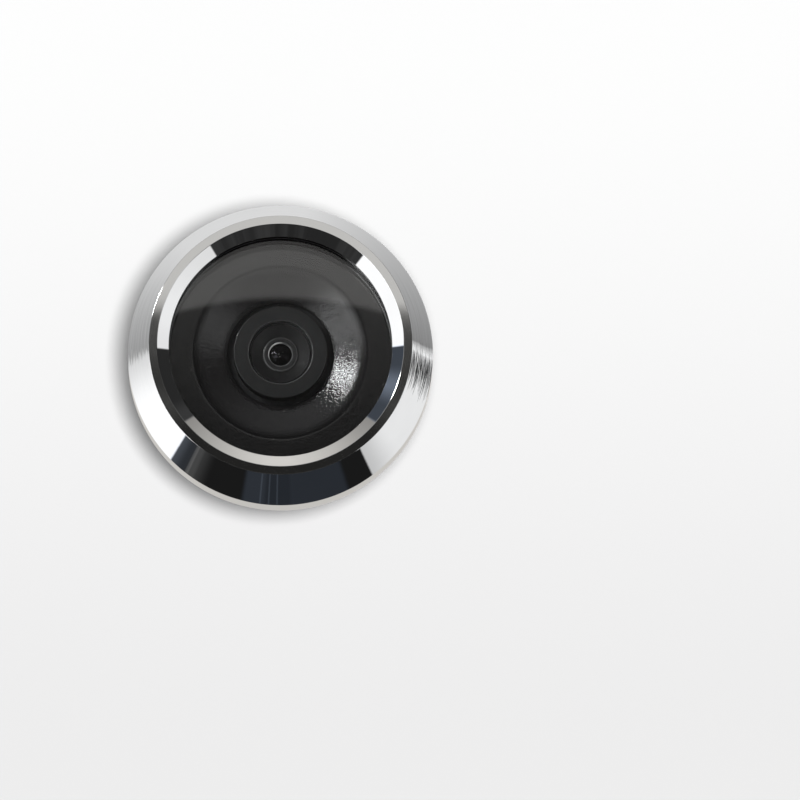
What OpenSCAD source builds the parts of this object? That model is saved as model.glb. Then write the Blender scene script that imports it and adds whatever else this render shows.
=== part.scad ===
// Door camera for a peephole: a bevelled chrome head on the outside of the door,
// a threaded tube through the door, and a washer and nut on the inside.
// Lengths are millimetres. X is right, Z is up, and the door lies along +Y from Y = 0.

/* [Bezel] */
// Outside diameter of the bezel
bezel_d = 36; // [32:0.5:44]
// Height of the bezel's straight side
bezel_side_h = 3.6; // [3:0.1:6]
// Height of the bezel's cone
bevel_h = 6.5; // [6:0.1:9]
// Width of the bezel's cone, seen from the front
bevel_w = 2.5; // [2.3:0.05:3.4]
// Width of the flat front lip
lip_w = 1; // [0.5:0.05:1.2]
// Width of the chamfer inside the lip
chamfer_w = 1.35; // [1:0.05:1.6]
// Depth of the chamfer inside the lip
chamfer_h = 1; // [0.6:0.1:1.4]
// Height of the straight wall between the chamfer and the window seat
reveal_h = 1; // [0.5:0.1:1.4]
// Width of the ledge that the window seats on
seat_w = 0.9; // [0.7:0.05:1.1]
// Wall of the skirt round the rear cover
skirt_wall = 0.6; // [0.5:0.05:0.8]
// Break on the bezel's sharp edges
edge_break = 0.12; // [0.05:0.01:0.2]

/* [Window and shroud] */
// Thickness of the front window
window_t = 1.2; // [0.8:0.1:1.6]
// Thickness of the adhesive ring that seals the window
seal_t = 0.2; // [0.1:0.05:0.4]
// Gap between the window and the shroud's flat face
window_gap = 1.5; // [1.1:0.1:1.8]
// Thickness of the shroud
shroud_t = 0.8; // [0.6:0.1:1]
// Wall of the shroud's rim under the window
shroud_rim = 0.6; // [0.4:0.05:0.7]
// Diameter of the dish in the shroud
dish_d = 19.2; // [17.5:0.1:20]
// Depth of the dish
dish_h = 1.1; // [0.7:0.1:1.3]
// Diameter of the hole in the dish
dish_hole_d = 12.4; // [12:0.1:13.4]
// Width of the hub round that hole
hub_w = 0.9; // [0.8:0.1:1.1]
// Diameter of the shroud's posts
post_d = 2.4; // [1.8:0.1:3]
// Number of posts
post_count = 3; // [2:1:6]

/* [Lens] */
// Outside diameter of the lens hood
hood_d = 11.1; // [10.4:0.1:11.6]
// Diameter of the hood's mouth
hood_mouth_d = 7.5; // [7:0.1:7.6]
// Thickness of the hood's front lip
hood_lip_t = 0.7; // [0.5:0.1:0.9]
// Gap between the hood and the window
hood_gap = 1.2; // [0.8:0.1:1.4]
// Thickness of the ring that locks the lens barrel
lock_ring_t = 0.4; // [0.3:0.05:0.6]
// Width of the spanner slots in that ring
spanner_slot_w = 0.9; // [0.6:0.1:1.2]
// Diameter of the threaded lens barrel
lens_barrel_d = 8; // [7.8:0.1:8.4]
// Length of the lens barrel
lens_barrel_len = 8.9; // [8.7:0.1:10]
// Pitch of the lens thread
lens_pitch = 0.5; // [0.4:0.05:0.6]
// Depth of the lens thread
lens_thread_depth = 0.25; // [0.15:0.05:0.3]
// Diameter of the lens elements
element_d = 5.9; // [5.6:0.1:6]
// Diameter of the front opening over the glass
aperture_d = 2.7; // [2.3:0.1:3]
// Diameter of the raised nose round that opening
nose_d = 4; // [3.7:0.1:4.4]
// Height of that nose
nose_h = 0.65; // [0.5:0.05:0.75]
// Height of the retainer's foot on the front element
retainer_foot_h = 0.4; // [0.3:0.05:0.5]
// Diameter of the dome on the front element
front_dome_d = 3.6; // [3.2:0.1:4]
// Height of that dome
front_dome_h = 0.75; // [0.5:0.05:0.8]
// Diameter of the hollow behind the front element
front_hollow_d = 2.8; // [2.2:0.1:3.2]
// Depth of that hollow
front_hollow_h = 0.7; // [0.4:0.05:0.8]
// Thickness of the front element at its rim
front_lens_t = 1; // [0.9:0.1:1.1]
// Bore of the two spacers
spacer_bore_d = 3.4; // [3.2:0.1:4.2]
// Length of the spacer behind the front element
front_spacer_t = 1; // [0.8:0.1:1.1]
// Thickness of the aperture stop
stop_t = 0.1; // [0.05:0.05:0.2]
// Diameter of the hole in the aperture stop
stop_d = 1.2; // [0.8:0.1:1.6]
// Diameter of the domes on the middle and rear elements
inner_dome_d = 3.2; // [2.8:0.1:3.2]
// Height of the dome on the middle element
middle_dome_h = 0.55; // [0.3:0.05:0.6]
// Height of the domes on the rear element
rear_dome_h = 0.3; // [0.2:0.05:0.35]
// Thickness of the middle element at its rim
middle_lens_t = 1.6; // [1.4:0.1:1.7]
// Length of the spacer behind the middle element
rear_spacer_t = 1.1; // [1:0.1:1.2]
// Thickness of the rear element at its rim
rear_lens_t = 1.8; // [1.6:0.1:1.9]
// Lip at the rear of the lens barrel
barrel_lip_t = 0.7; // [0.5:0.1:0.8]
// Diameter of the clear way behind the rear element
rear_opening_d = 4.2; // [3.6:0.1:4.6]

/* [Camera board] */
// Thickness of the board
board_t = 0.8; // [0.6:0.1:1.2]
// Width of the image sensor
sensor_w = 6; // [5:0.1:6.4]
// Height of the image sensor
sensor_h = 5.2; // [4:0.1:5.6]
// Thickness of the image sensor
sensor_t = 0.9; // [0.6:0.1:1.2]
// Rim of the sensor's package round its cover glass
sensor_rim = 0.5; // [0.3:0.05:0.8]
// Thickness of the infrared filter
filter_t = 0.3; // [0.2:0.05:0.5]
// Gap between the filter and the sensor
filter_gap = 0.4; // [0.2:0.1:0.8]
// Width of the ribbon socket
socket_w = 7.6; // [6:0.1:8]
// Height of the ribbon socket
socket_h = 2.6; // [2.2:0.1:3]
// Depth of the ribbon socket
socket_t = 1.6; // [1.2:0.1:2]
// Thickness of the bar on the socket's latch
latch_t = 0.6; // [0.4:0.1:0.8]
// Height of the slot in the ribbon socket
socket_slot_h = 0.9; // [0.7:0.1:1.1]
// Depth of that slot
socket_slot_t = 1.2; // [1:0.1:1.2]
// Wall at each end of that slot
socket_end_wall = 0.5; // [0.3:0.1:0.8]
// Thickness of the latch's tongue
tongue_h = 0.3; // [0.2:0.05:0.4]
// How far the latch's tongue reaches into the slot
tongue_reach = 0.8; // [0.6:0.1:1]
// Room behind the lens barrel for focusing
focus_room = 0.3; // [0.2:0.1:0.6]
// Thickness of the web that holds the filter
holder_web_t = 0.6; // [0.4:0.1:0.8]
// Length of the chip capacitors
chip_w = 1; // [0.6:0.1:1.2]
// Width of the chip capacitors
chip_h = 0.6; // [0.3:0.1:0.7]
// Height of the chip capacitors
chip_t = 0.5; // [0.3:0.1:0.7]
// Distance between the two chips of a row
chip_step = 4.4; // [3.6:0.1:4.8]
// Distance of the chip rows from the board's middle
chip_row = 2.5; // [2.3:0.1:2.9]
// Diameter of the board screws
board_screw_d = 0.9; // [0.8:0.05:1]
// Head diameter of the board screws
board_screw_head_d = 1.5; // [1.3:0.1:1.6]
// Head height of the board screws
board_screw_head_h = 0.45; // [0.35:0.05:0.6]
// Length of thread that a board screw has in the holder
board_screw_bite = 1.6; // [1:0.1:2]
// Distance of the board screws from the holder's outside
board_screw_edge = 1.25; // [1.1:0.05:1.3]

/* [Rear cover] */
// Thickness of the rear cover
cover_t = 1.8; // [1.6:0.1:2.2]
// Thickness left under the tube's flange
cover_web_t = 0.9; // [0.7:0.1:1.1]
// Thickness of the flat gasket between cover and bezel
cover_gasket_t = 0.4; // [0.2:0.1:0.6]
// Thickness of the foam gasket against the door
door_gasket_t = 1.2; // [1:0.1:2]
// How far the foam gasket stands proud of the bezel
gasket_proud = 0.6; // [0.3:0.1:0.8]
// Number of cover screws
screw_count = 3; // [3:1:6]
// Diameter of the cover screws
screw_d = 1.6; // [1.4:0.1:1.8]
// Head diameter of the cover screws
screw_head_d = 2.6; // [2.4:0.1:2.8]
// Head height of the cover screws
screw_head_h = 0.7; // [0.5:0.1:0.8]
// Length of thread that a cover screw has in the bezel
screw_bite = 2.5; // [1.5:0.1:2.8]
// Width of the slots in the screw heads
screw_slot_w = 0.35; // [0.2:0.05:0.45]

/* [Tube and clamp] */
// Outside diameter of the tube
tube_d = 13.9; // [13.6:0.1:16]
// Bore of the tube
tube_bore_d = 11.6; // [11.4:0.1:11.9]
// Length of the tube behind the door's outer face
tube_len = 58; // [56:1:90]
// Length of the plain shank behind the door's outer face
shank_len = 12; // [6:0.5:16]
// Step from the shank out to the spigot in the rear cover
spigot_step = 0.45; // [0.3:0.05:0.7]
// Width of the tube's flange round the spigot
flange_w = 1.6; // [1.3:0.1:2]
// Depth of the two flats that stop the flange turning
flat_depth = 0.8; // [0.5:0.1:1]
// Thickness of the flange
flange_t = 1; // [0.8:0.1:1.2]
// Diameter of the pin that keeps the picture upright
pin_d = 0.8; // [0.6:0.1:0.9]
// Distance of that pin from the tube's bore
pin_edge = 0.7; // [0.6:0.05:0.75]
// Length of that pin in the tube's flange
pin_bite = 0.75; // [0.5:0.05:0.8]
// Pitch of the tube's thread
thread_pitch = 1; // [0.75:0.25:1.5]
// Depth of the tube's thread
thread_depth = 0.5; // [0.3:0.05:0.6]
// Lead-in at the tube's rear end
end_chamfer = 0.5; // [0.2:0.1:1]
// Thickness of the door at which the nut is drawn
door_t = 40; // [30:1:50]
// Distance across the nut's flats
nut_af = 17; // [16.6:0.1:20]
// Height of the nut
nut_h = 4.5; // [3:0.1:5]
// Lead-in at both ends of the nut's bore
nut_entry = 0.25; // [0.1:0.05:0.5]
// Height of the chamfer on the nut's corners
nut_crown_h = 1.3; // [0.8:0.1:1.4]
// Diameter of the clamp washer
washer_d = 20; // [19:0.5:24]
// Thickness of the clamp washer
washer_t = 1.2; // [0.8:0.1:1.6]
// Diameter of the pad against the inside of the door
pad_d = 21; // [20:0.5:26]
// Thickness of that pad
pad_t = 1; // [0.6:0.1:1.5]
// Length of the bush inside the tube's end
bush_len = 6; // [4:0.5:10]
// Wall of the bush
bush_wall = 1.2; // [0.8:0.1:1.5]
// Height of the bush's collar
bush_collar_t = 0.8; // [0.5:0.1:1.2]

/* [Clearances] */
// Radial gap of pieces that slip into each other
slip = 0.1; // [0.05:0.01:0.15]
// Radial gap of a thread or a screw in its hole
thread_gap = 0.05; // [0.03:0.01:0.1]

/* [Hidden] */
$fn = 96;

// Radii worked out from the sizes above
bezel_r = bezel_d / 2;
lip_r = bezel_r - bevel_w;
chamfer_r = lip_r - lip_w;
opening_r = chamfer_r - chamfer_w;
cavity_r = opening_r + seat_w;
skirt_r = bezel_r - skirt_wall;
window_r = cavity_r - slip;
cover_r = skirt_r - slip;
screw_circle_r = (cavity_r + cover_r) / 2;
tube_r = tube_d / 2;
tube_bore_r = tube_bore_d / 2;
spigot_r = tube_r + spigot_step;
flange_r = spigot_r + flange_w;
thread_crest_r = tube_r - thread_gap;
thread_root_r = thread_crest_r - thread_depth;
holder_r = tube_bore_r - slip;
board_r = holder_r - slip;
barrel_r = lens_barrel_d / 2;
element_r = element_d / 2;
element_bore_r = element_r + thread_gap;
retainer_r = hood_mouth_d / 2 - 2 * slip;
nose_r = nose_d / 2;
rear_opening_r = rear_opening_d / 2;
retainer_foot_r = front_dome_d / 2 + 3 * slip;
aperture_r = aperture_d / 2;
hub_r = dish_hole_d / 2 + hub_w;

// Levels in front of the door's outer face, worked out from the door forwards
cover_back = door_gasket_t;
cover_front = cover_back + cover_t;
web_front = cover_back + cover_web_t;
flange_front = web_front + flange_t;
step_face = cover_front + cover_gasket_t;
skirt_back = door_gasket_t - gasket_proud;
side_top = skirt_back + bezel_side_h;
lip_face = side_top + bevel_h;
chamfer_foot = lip_face - chamfer_h;
ledge = chamfer_foot - reveal_h;
window_front = ledge - seal_t;
window_back = window_front - window_t;
shroud_face = window_back - window_gap;
shroud_back = shroud_face - shroud_t;
dish_foot = shroud_face - dish_h;
hub_back = dish_foot - shroud_t;
hood_front = window_back - hood_gap;
hood_back = hub_back + lock_ring_t;
barrel_front = hood_front - hood_lip_t;
barrel_back = barrel_front - lens_barrel_len;

// Levels of the lens elements, stacked forwards from the barrel's rear lip
rear_lens_back = barrel_back + barrel_lip_t;
rear_lens_front = rear_lens_back + rear_lens_t;
rear_spacer_front = rear_lens_front + rear_spacer_t;
middle_lens_front = rear_spacer_front + middle_lens_t;
stop_front = middle_lens_front + stop_t;
front_spacer_front = stop_front + front_spacer_t;
front_lens_rim = front_spacer_front + front_lens_t;
retainer_back = front_lens_rim + retainer_foot_h;
nose_front = retainer_back + nose_h;

// Levels of the camera board, stacked backwards from the lens barrel
web_top = barrel_back - focus_room;
filter_front = web_top - holder_web_t;
sensor_front = filter_front - filter_t - filter_gap;
board_front = sensor_front - sensor_t;
board_back = board_front - board_t;
socket_back = board_back - socket_t;
board_screw_y = holder_r - board_screw_edge;
socket_slot_w = socket_w - 2 * socket_end_wall;

// Shape of the nut, the washers and the tube's rear end
tube_back = -tube_len;
pad_front = -door_t;
washer_front = pad_front - pad_t;
nut_front = washer_front - washer_t;
nut_bore_r = thread_crest_r + thread_gap;
washer_bore_r = tube_r + 2 * slip;
bush_r = tube_bore_r - thread_gap;
bush_bore_r = bush_r - bush_wall;

// Turns a shape so that its own Z points out of the door, towards the visitor
module face_on() {
    rotate([90, 0, 0]) children();
}

// A turned piece from a profile of [radius, level] points
module turned(profile) {
    face_on() rotate_extrude() polygon(profile);
}

// A flat ring between two levels
module ring(outer_r, inner_r, back, front) {
    turned([[inner_r, back], [outer_r, back], [outer_r, front], [inner_r, front]]);
}

// A round rod or hole between two levels, at a place on the face
module rod(r, back, front, x = 0, y = 0) {
    face_on() translate([x, y, back]) cylinder(r = r, h = front - back);
}

// A block between two levels, centred at a place on the face
module block(w, h, back, front, x = 0, y = 0) {
    face_on() translate([x - w / 2, y - h / 2, back]) cube([w, h, front - back]);
}

// Copies of a shape at even steps round the axis
module around(count, first = 90) {
    for (i = [0 : count - 1]) rotate([0, -first - i * 360 / count, 0]) children();
}

// A spherical cap of a base radius and a height, standing on a level
module dome(base_r, h, level) {
    ball_r = (base_r * base_r + h * h) / (2 * h);
    face_on() translate([0, 0, level]) intersection() {
        translate([0, 0, h - ball_r]) sphere(r = ball_r);
        cylinder(r = base_r, h = h);
    }
}

// The same cap pointing away from the visitor
module sunk_dome(base_r, h, level) {
    translate([0, -2 * level, 0]) mirror([0, 1, 0]) dome(base_r, h, level);
}

// Profile points of a thread made of rings, from one level forwards to another
function thread_points(crest_r, root_r, pitch, back, front) =
    let (turns = floor((front - back) / pitch))
    [for (i = [0 : turns - 1]) for (p = [
        [root_r, 0], [root_r, 0.25], [crest_r, 0.5], [crest_r, 0.75], [root_r, 1]
    ]) [p[0], back + (i + p[1]) * pitch]];

module bezel() {
    e = edge_break;
    color("#D5D7D9") difference() {
        turned([
            [bezel_r - e, skirt_back], [bezel_r, skirt_back + e], [bezel_r, side_top],
            [lip_r + e / 2, lip_face - e], [lip_r - e, lip_face],
            [chamfer_r, lip_face], [opening_r, chamfer_foot], [opening_r, ledge],
            [cavity_r, ledge], [cavity_r, step_face], [skirt_r, step_face], [skirt_r, skirt_back]
        ]);
        around(screw_count)
            rod(screw_d / 2 + thread_gap, step_face - 1, step_face + screw_bite + slip, screw_circle_r);
    }
}

module window_seal() {
    color("#101010") ring(window_r, opening_r, window_front, ledge);
}

module front_window() {
    e = edge_break;
    color("#9AA4AA", 0.35) turned([
        [0, window_back], [window_r - e, window_back], [window_r, window_back + e],
        [window_r, window_front - e], [window_r - e, window_front], [0, window_front]
    ]);
}

module shroud() {
    post_r = post_d / 2;
    post_circle_r = (dish_d / 2 + window_r) / 2;
    color("#1B1B1C") union() {
        turned([
            [dish_hole_d / 2, hub_back], [hub_r, hub_back], [dish_d / 2, shroud_back],
            [window_r, shroud_back], [window_r, window_back], [window_r - shroud_rim, window_back],
            [window_r - shroud_rim, shroud_face], [dish_d / 2, shroud_face], [dish_hole_d / 2, dish_foot]
        ]);
        around(post_count, 30) rod(post_r, cover_front, shroud_face - shroud_t / 2, post_circle_r);
    }
}

module lens_hood() {
    e = edge_break;
    bore_r = barrel_r + thread_gap;
    mouth_r = hood_mouth_d / 2;
    color("#232324") turned([
        [bore_r, hood_back], [hood_d / 2, hood_back], [hood_d / 2, hood_front - e],
        [hood_d / 2 - e, hood_front], [mouth_r + e, hood_front], [mouth_r, hood_front - e],
        [mouth_r, barrel_front], [bore_r, barrel_front]
    ]);
}

module lens_retainer() {
    e = edge_break;
    funnel_foot = nose_front - nose_h / 2;
    color("#18181A") turned([
        [aperture_r, retainer_back], [retainer_foot_r, retainer_back],
        [retainer_foot_r, front_lens_rim], [element_r, front_lens_rim],
        [element_r, retainer_back], [retainer_r, retainer_back], [retainer_r, barrel_front],
        [retainer_r - e, barrel_front], [nose_r + e, funnel_foot], [nose_r, funnel_foot],
        [nose_r, nose_front - e], [nose_r - e, nose_front], [aperture_r + 2 * e, nose_front],
        [aperture_r, nose_front - 2 * e]
    ]);
}

module front_lens() {
    color("#3B3A55", 0.5) difference() {
        union() {
            rod(element_r, front_spacer_front, front_lens_rim);
            dome(front_dome_d / 2, front_dome_h, front_lens_rim);
        }
        dome(front_hollow_d / 2, front_hollow_h, front_spacer_front);
    }
}

module front_spacer() {
    color("#111111") ring(element_r, spacer_bore_d / 2, stop_front, front_spacer_front);
}

module aperture_stop() {
    color("#080808") ring(element_r, stop_d / 2, middle_lens_front, stop_front);
}

module middle_lens() {
    color("#7C8A93", 0.5) union() {
        rod(element_r, rear_spacer_front, middle_lens_front);
        sunk_dome(inner_dome_d / 2, middle_dome_h, rear_spacer_front);
    }
}

module rear_spacer() {
    color("#111111") ring(element_r, spacer_bore_d / 2, rear_lens_front, rear_spacer_front);
}

module rear_lens() {
    color("#7C8A93", 0.5) union() {
        rod(element_r, rear_lens_back, rear_lens_front);
        dome(inner_dome_d / 2, rear_dome_h, rear_lens_front);
        sunk_dome(inner_dome_d / 2, rear_dome_h, rear_lens_back);
    }
}

module lens_barrel() {
    root_r = barrel_r - lens_thread_depth;
    bore_r = retainer_r + thread_gap;
    color("#1D1D1F") turned(concat(
        [[rear_opening_r, barrel_back]],
        thread_points(barrel_r, root_r, lens_pitch, barrel_back, hub_back),
        [
            [root_r, hub_back], [barrel_r, hub_back], [barrel_r, barrel_front], [bore_r, barrel_front],
            [bore_r, retainer_back], [element_bore_r, retainer_back],
            [element_bore_r, rear_lens_back], [rear_opening_r, rear_lens_back]
        ]
    ));
}

module lens_lock_ring() {
    color("#2A2A2C") difference() {
        ring(hood_d / 2 - slip, barrel_r + thread_gap, hub_back, hood_back);
        around(2) block(spanner_slot_w, spanner_slot_w, hub_back - 1, hood_back + 1, hood_d / 2);
    }
}

module lens_holder() {
    rim_r = hub_r + 3 * slip;
    color("#262628") difference() {
        turned([
            [0, board_front], [holder_r, board_front], [holder_r, flange_front],
            [rim_r, flange_front], [rim_r, hub_back], [0, hub_back]
        ]);
        rod(barrel_r + thread_gap, web_top, hub_back + 1);
        rod(rear_opening_r, filter_front - 1, web_top + 1);
        block(sensor_w + 4 * slip, sensor_h + 4 * slip, board_front - 1, filter_front);
        for (side = [-1, 1])
            rod(board_screw_d / 2 + thread_gap, board_front - 1, board_front + board_screw_bite + slip,
                0, side * board_screw_y);
        locating_rod(slip);
    }
}

// The locating pin's place, through the holder's flange into the tube's, with a gap added
module locating_rod(gap) {
    rod(pin_d / 2 + gap, flange_front - pin_bite - gap, hub_back + gap, 0, tube_bore_r + pin_edge);
}

module locating_pin() {
    color("#B9BBBD") locating_rod(0);
}

module ir_filter() {
    color("#8FA9B5", 0.4) block(sensor_w, sensor_h, filter_front - filter_t, filter_front);
}

module image_sensor() {
    cover_glass_t = sensor_t / 3;
    color("#30343A") union() {
        block(sensor_w, sensor_h, board_front, sensor_front - cover_glass_t);
        block(sensor_w - 2 * sensor_rim, sensor_h - 2 * sensor_rim, board_front, sensor_front);
    }
}

module sensor_board() {
    color("#1F5A3A") difference() {
        rod(board_r, board_back, board_front);
        for (side = [-1, 1])
            rod(board_screw_d / 2 + slip, board_back - 1, board_front + 1, 0, side * board_screw_y);
    }
}

// Chip capacitors in a row on each side of the socket
module board_components() {
    color("#8A6B4A") for (side = [-1, 1], end = [-1, 1])
        block(chip_w, chip_h, board_back - chip_t, board_back, end * chip_step / 2, side * chip_row);
}

module board_screws() {
    head_back = board_back - board_screw_head_h;
    slot_foot = head_back + board_screw_head_h / 2;
    color("#A8AAAC") for (side = [-1, 1]) difference() {
        union() {
            rod(board_screw_head_d / 2, head_back, board_back, 0, side * board_screw_y);
            rod(board_screw_d / 2, slot_foot, board_front + board_screw_bite, 0, side * board_screw_y);
        }
        block(board_screw_head_d + 1, screw_slot_w, head_back - 1, slot_foot, 0, side * board_screw_y);
    }
}

module ribbon_socket() {
    color("#E4DFD2") difference() {
        block(socket_w, socket_h, socket_back, board_back);
        block(socket_slot_w, socket_slot_h, socket_back - 1, socket_back + socket_slot_t);
    }
}

module socket_latch() {
    color("#2E2622") union() {
        block(socket_w, socket_h / 2, socket_back - latch_t, socket_back, 0, socket_h / 4 + slip);
        block(socket_slot_w - 2 * slip, tongue_h, socket_back - latch_t, socket_back + tongue_reach,
            0, socket_slot_h / 2 - slip - tongue_h / 2);
    }
}

// Outline of the tube's flange, with a gap added all round
module flange_shape(gap, back, front) {
    intersection() {
        rod(flange_r + gap, back, front);
        block(2 * (flange_r - flat_depth + gap), 4 * flange_r, back, front);
    }
}

module rear_cover() {
    color("#3A3B3D") difference() {
        rod(cover_r, cover_back, cover_front);
        rod(spigot_r + slip, cover_back - 1, cover_front + 1);
        flange_shape(slip, web_front, cover_front + 1);
        around(screw_count) {
            rod(screw_d / 2 + slip, cover_back - 1, cover_front + 1, screw_circle_r);
            rod(screw_head_d / 2 + slip, cover_back - 1, cover_back + screw_head_h + slip, screw_circle_r);
        }
    }
}

module cover_gasket() {
    color("#151515") difference() {
        ring(cover_r, cavity_r, cover_front, step_face);
        around(screw_count) rod(screw_d / 2 + slip, cover_front - 1, step_face + 1, screw_circle_r);
    }
}

module cover_screws() {
    head_back = cover_back + slip;
    slot_len = screw_head_d - 2 * screw_slot_w;
    color("#B4B6B8") around(screw_count) difference() {
        union() {
            rod(screw_head_d / 2, head_back, head_back + screw_head_h, screw_circle_r);
            rod(screw_d / 2, head_back + screw_head_h / 2, step_face + screw_bite, screw_circle_r);
        }
        for (turn = [0, 1])
            block(turn ? screw_slot_w : slot_len, turn ? slot_len : screw_slot_w,
                head_back - 1, head_back + screw_head_h / 2, screw_circle_r);
    }
}

module door_gasket() {
    color("#1A1A1A") ring(cover_r - slip, spigot_r + 3 * slip, 0, cover_back);
}

module threaded_tube() {
    color("#C8C2B2") difference() {
        union() {
            turned(concat(
                [[tube_bore_r, tube_back], [thread_root_r, tube_back]],
                thread_points(thread_crest_r, thread_root_r, thread_pitch,
                    tube_back + end_chamfer, -shank_len),
                [[thread_root_r, -shank_len], [tube_r, -shank_len], [tube_r, 0], [spigot_r, 0],
                    [spigot_r, flange_front], [tube_bore_r, flange_front]]
            ));
            difference() {
                flange_shape(0, web_front, flange_front);
                rod(tube_bore_r + slip, web_front - 1, flange_front + 1);
            }
        }
        locating_rod(slip);
    }
}

module tube_bush() {
    e = edge_break;
    collar_r = thread_root_r - slip;
    color("#141414") turned([
        [bush_bore_r, tube_back + bush_len], [bush_r - e, tube_back + bush_len],
        [bush_r, tube_back + bush_len - e], [bush_r, tube_back], [collar_r, tube_back],
        [collar_r, tube_back - bush_collar_t + e], [collar_r - e, tube_back - bush_collar_t],
        [bush_bore_r + e, tube_back - bush_collar_t], [bush_bore_r, tube_back - bush_collar_t + e]
    ]);
}

module inner_pad() {
    color("#202020") ring(pad_d / 2, washer_bore_r, washer_front, pad_front);
}

module clamp_washer() {
    color("#C9CBCD") ring(washer_d / 2, washer_bore_r, nut_front, washer_front);
}

module clamp_nut() {
    corner_r = nut_af / 2 / cos(30);
    face_r = nut_af / 2 - nut_entry;
    nut_back = nut_front - nut_h;
    mouth_r = nut_bore_r + nut_entry;
    color("#CDC6B4") intersection() {
        difference() {
            face_on() translate([0, 0, nut_back]) cylinder(r = corner_r, h = nut_h, $fn = 6);
            turned([
                [0, nut_back - 1], [mouth_r, nut_back - 1], [mouth_r, nut_back],
                [nut_bore_r, nut_back + nut_entry], [nut_bore_r, nut_front - nut_entry],
                [mouth_r, nut_front], [mouth_r, nut_front + 1], [0, nut_front + 1]
            ]);
        }
        turned([
            [0, nut_back], [face_r, nut_back], [corner_r + 1, nut_back + nut_crown_h],
            [corner_r + 1, nut_front - nut_crown_h], [face_r, nut_front], [0, nut_front]
        ]);
    }
}

bezel();
window_seal();
front_window();
shroud();
lens_hood();
lens_retainer();
front_lens();
front_spacer();
aperture_stop();
middle_lens();
rear_spacer();
rear_lens();
lens_barrel();
lens_lock_ring();
lens_holder();
locating_pin();
ir_filter();
image_sensor();
sensor_board();
board_components();
board_screws();
ribbon_socket();
socket_latch();
rear_cover();
cover_gasket();
cover_screws();
door_gasket();
threaded_tube();
tube_bush();
inner_pad();
clamp_washer();
clamp_nut();
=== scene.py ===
import math

import bpy
import numpy as np
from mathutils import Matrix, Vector


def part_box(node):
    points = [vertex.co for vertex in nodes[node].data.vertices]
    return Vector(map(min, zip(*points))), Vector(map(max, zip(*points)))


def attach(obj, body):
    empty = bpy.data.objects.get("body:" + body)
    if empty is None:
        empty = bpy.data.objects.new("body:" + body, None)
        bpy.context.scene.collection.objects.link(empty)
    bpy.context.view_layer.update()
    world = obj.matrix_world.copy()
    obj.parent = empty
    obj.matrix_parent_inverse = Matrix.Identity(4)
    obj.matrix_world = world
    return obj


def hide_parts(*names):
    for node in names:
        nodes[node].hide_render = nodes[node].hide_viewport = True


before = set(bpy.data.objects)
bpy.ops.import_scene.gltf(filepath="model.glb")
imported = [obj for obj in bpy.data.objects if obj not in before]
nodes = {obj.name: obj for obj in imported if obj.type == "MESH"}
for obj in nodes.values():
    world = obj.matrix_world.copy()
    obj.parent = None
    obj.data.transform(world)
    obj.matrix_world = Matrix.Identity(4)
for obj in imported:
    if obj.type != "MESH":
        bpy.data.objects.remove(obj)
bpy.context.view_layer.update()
print("frame loaded with", len(nodes), "nodes")

mm = 0.001
fullTurn = 2 * math.pi
arcShare = 0.45  # most that an arc takes of the shorter of its two sides


# Levels are millimetres in front of the door's outer face, so a level is -y
def levels(node):
    low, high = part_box(node)
    return -high.y / mm, -low.y / mm


# A node's radius is its reach along z
def outerRadius(node):
    low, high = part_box(node)
    return high.z / mm


# Shape helpers

# Each corner (radius, level, rounding) becomes an arc that touches both of its sides.
# A point of the arc is its start plus the rounding times the change of the left-hand direction.
def roundedOutline(corners, arcSteps=5):
    rows = np.array(corners, float)
    point, rounding = rows[:, :2], rows[:, 2]
    ahead = np.roll(point, -1, 0) - point
    length = np.linalg.norm(ahead, axis=1)
    leaving = ahead / length[:, None]
    arriving = np.roll(leaving, 1, 0)
    cross = arriving[:, 0] * leaving[:, 1] - arriving[:, 1] * leaving[:, 0]
    bend = np.arctan2(cross, (arriving * leaving).sum(1))
    halfTan = np.maximum(np.tan(np.abs(bend) / 2), 1e-9)
    shortest = np.minimum(length, np.roll(length, 1))
    reach = np.minimum(rounding * halfTan, arcShare * shortest)
    along = np.linspace(0, 1, arcSteps + 1)
    heading = np.arctan2(arriving[:, 1], arriving[:, 0])[:, None] + bend[:, None] * along
    left = np.stack((-np.sin(heading), np.cos(heading)), -1)
    start = point - arriving * reach[:, None]
    signed = np.sign(bend) * reach / halfTan
    path = start[:, None] + signed[:, None, None] * (left[:, :1] - left)
    return path.reshape(-1, 2), -left.reshape(-1, 2)


# Outline of a solid that reaches the axis: the side that runs along the axis is left out
def axisOutline(corners, arcSteps=5):
    path, outward = roundedOutline(corners, arcSteps)
    return path[arcSteps:-arcSteps], outward[arcSteps:-arcSteps]


# Equal steps of a full turn
def roundAngles(count):
    return np.arange(count) / count * fullTurn


# Points round the axis: x = r cos a, y = -level and z = r sin a
def roundAxis(radius, level, angle):
    return np.stack((radius * np.cos(angle), -level + 0 * angle, radius * np.sin(angle)), -1)


# Turning: an outline's rows, and their outward directions, are carried round the axis
def turnedGrid(path, outward, count=192):
    angle = roundAngles(count)
    return [roundAxis(rows[:, 0, None], rows[:, 1, None], angle) for rows in (path, outward)]


# Outward directions of a grid that closes both ways: the cross product of its row and column steps
def gridNormals(points):
    around = np.roll(points, -1, 1) - np.roll(points, 1, 1)
    down = np.roll(points, -1, 0) - np.roll(points, 1, 0)
    normal = np.cross(around, down)
    return normal / np.maximum(np.linalg.norm(normal, axis=-1, keepdims=True), 1e-12)


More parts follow.
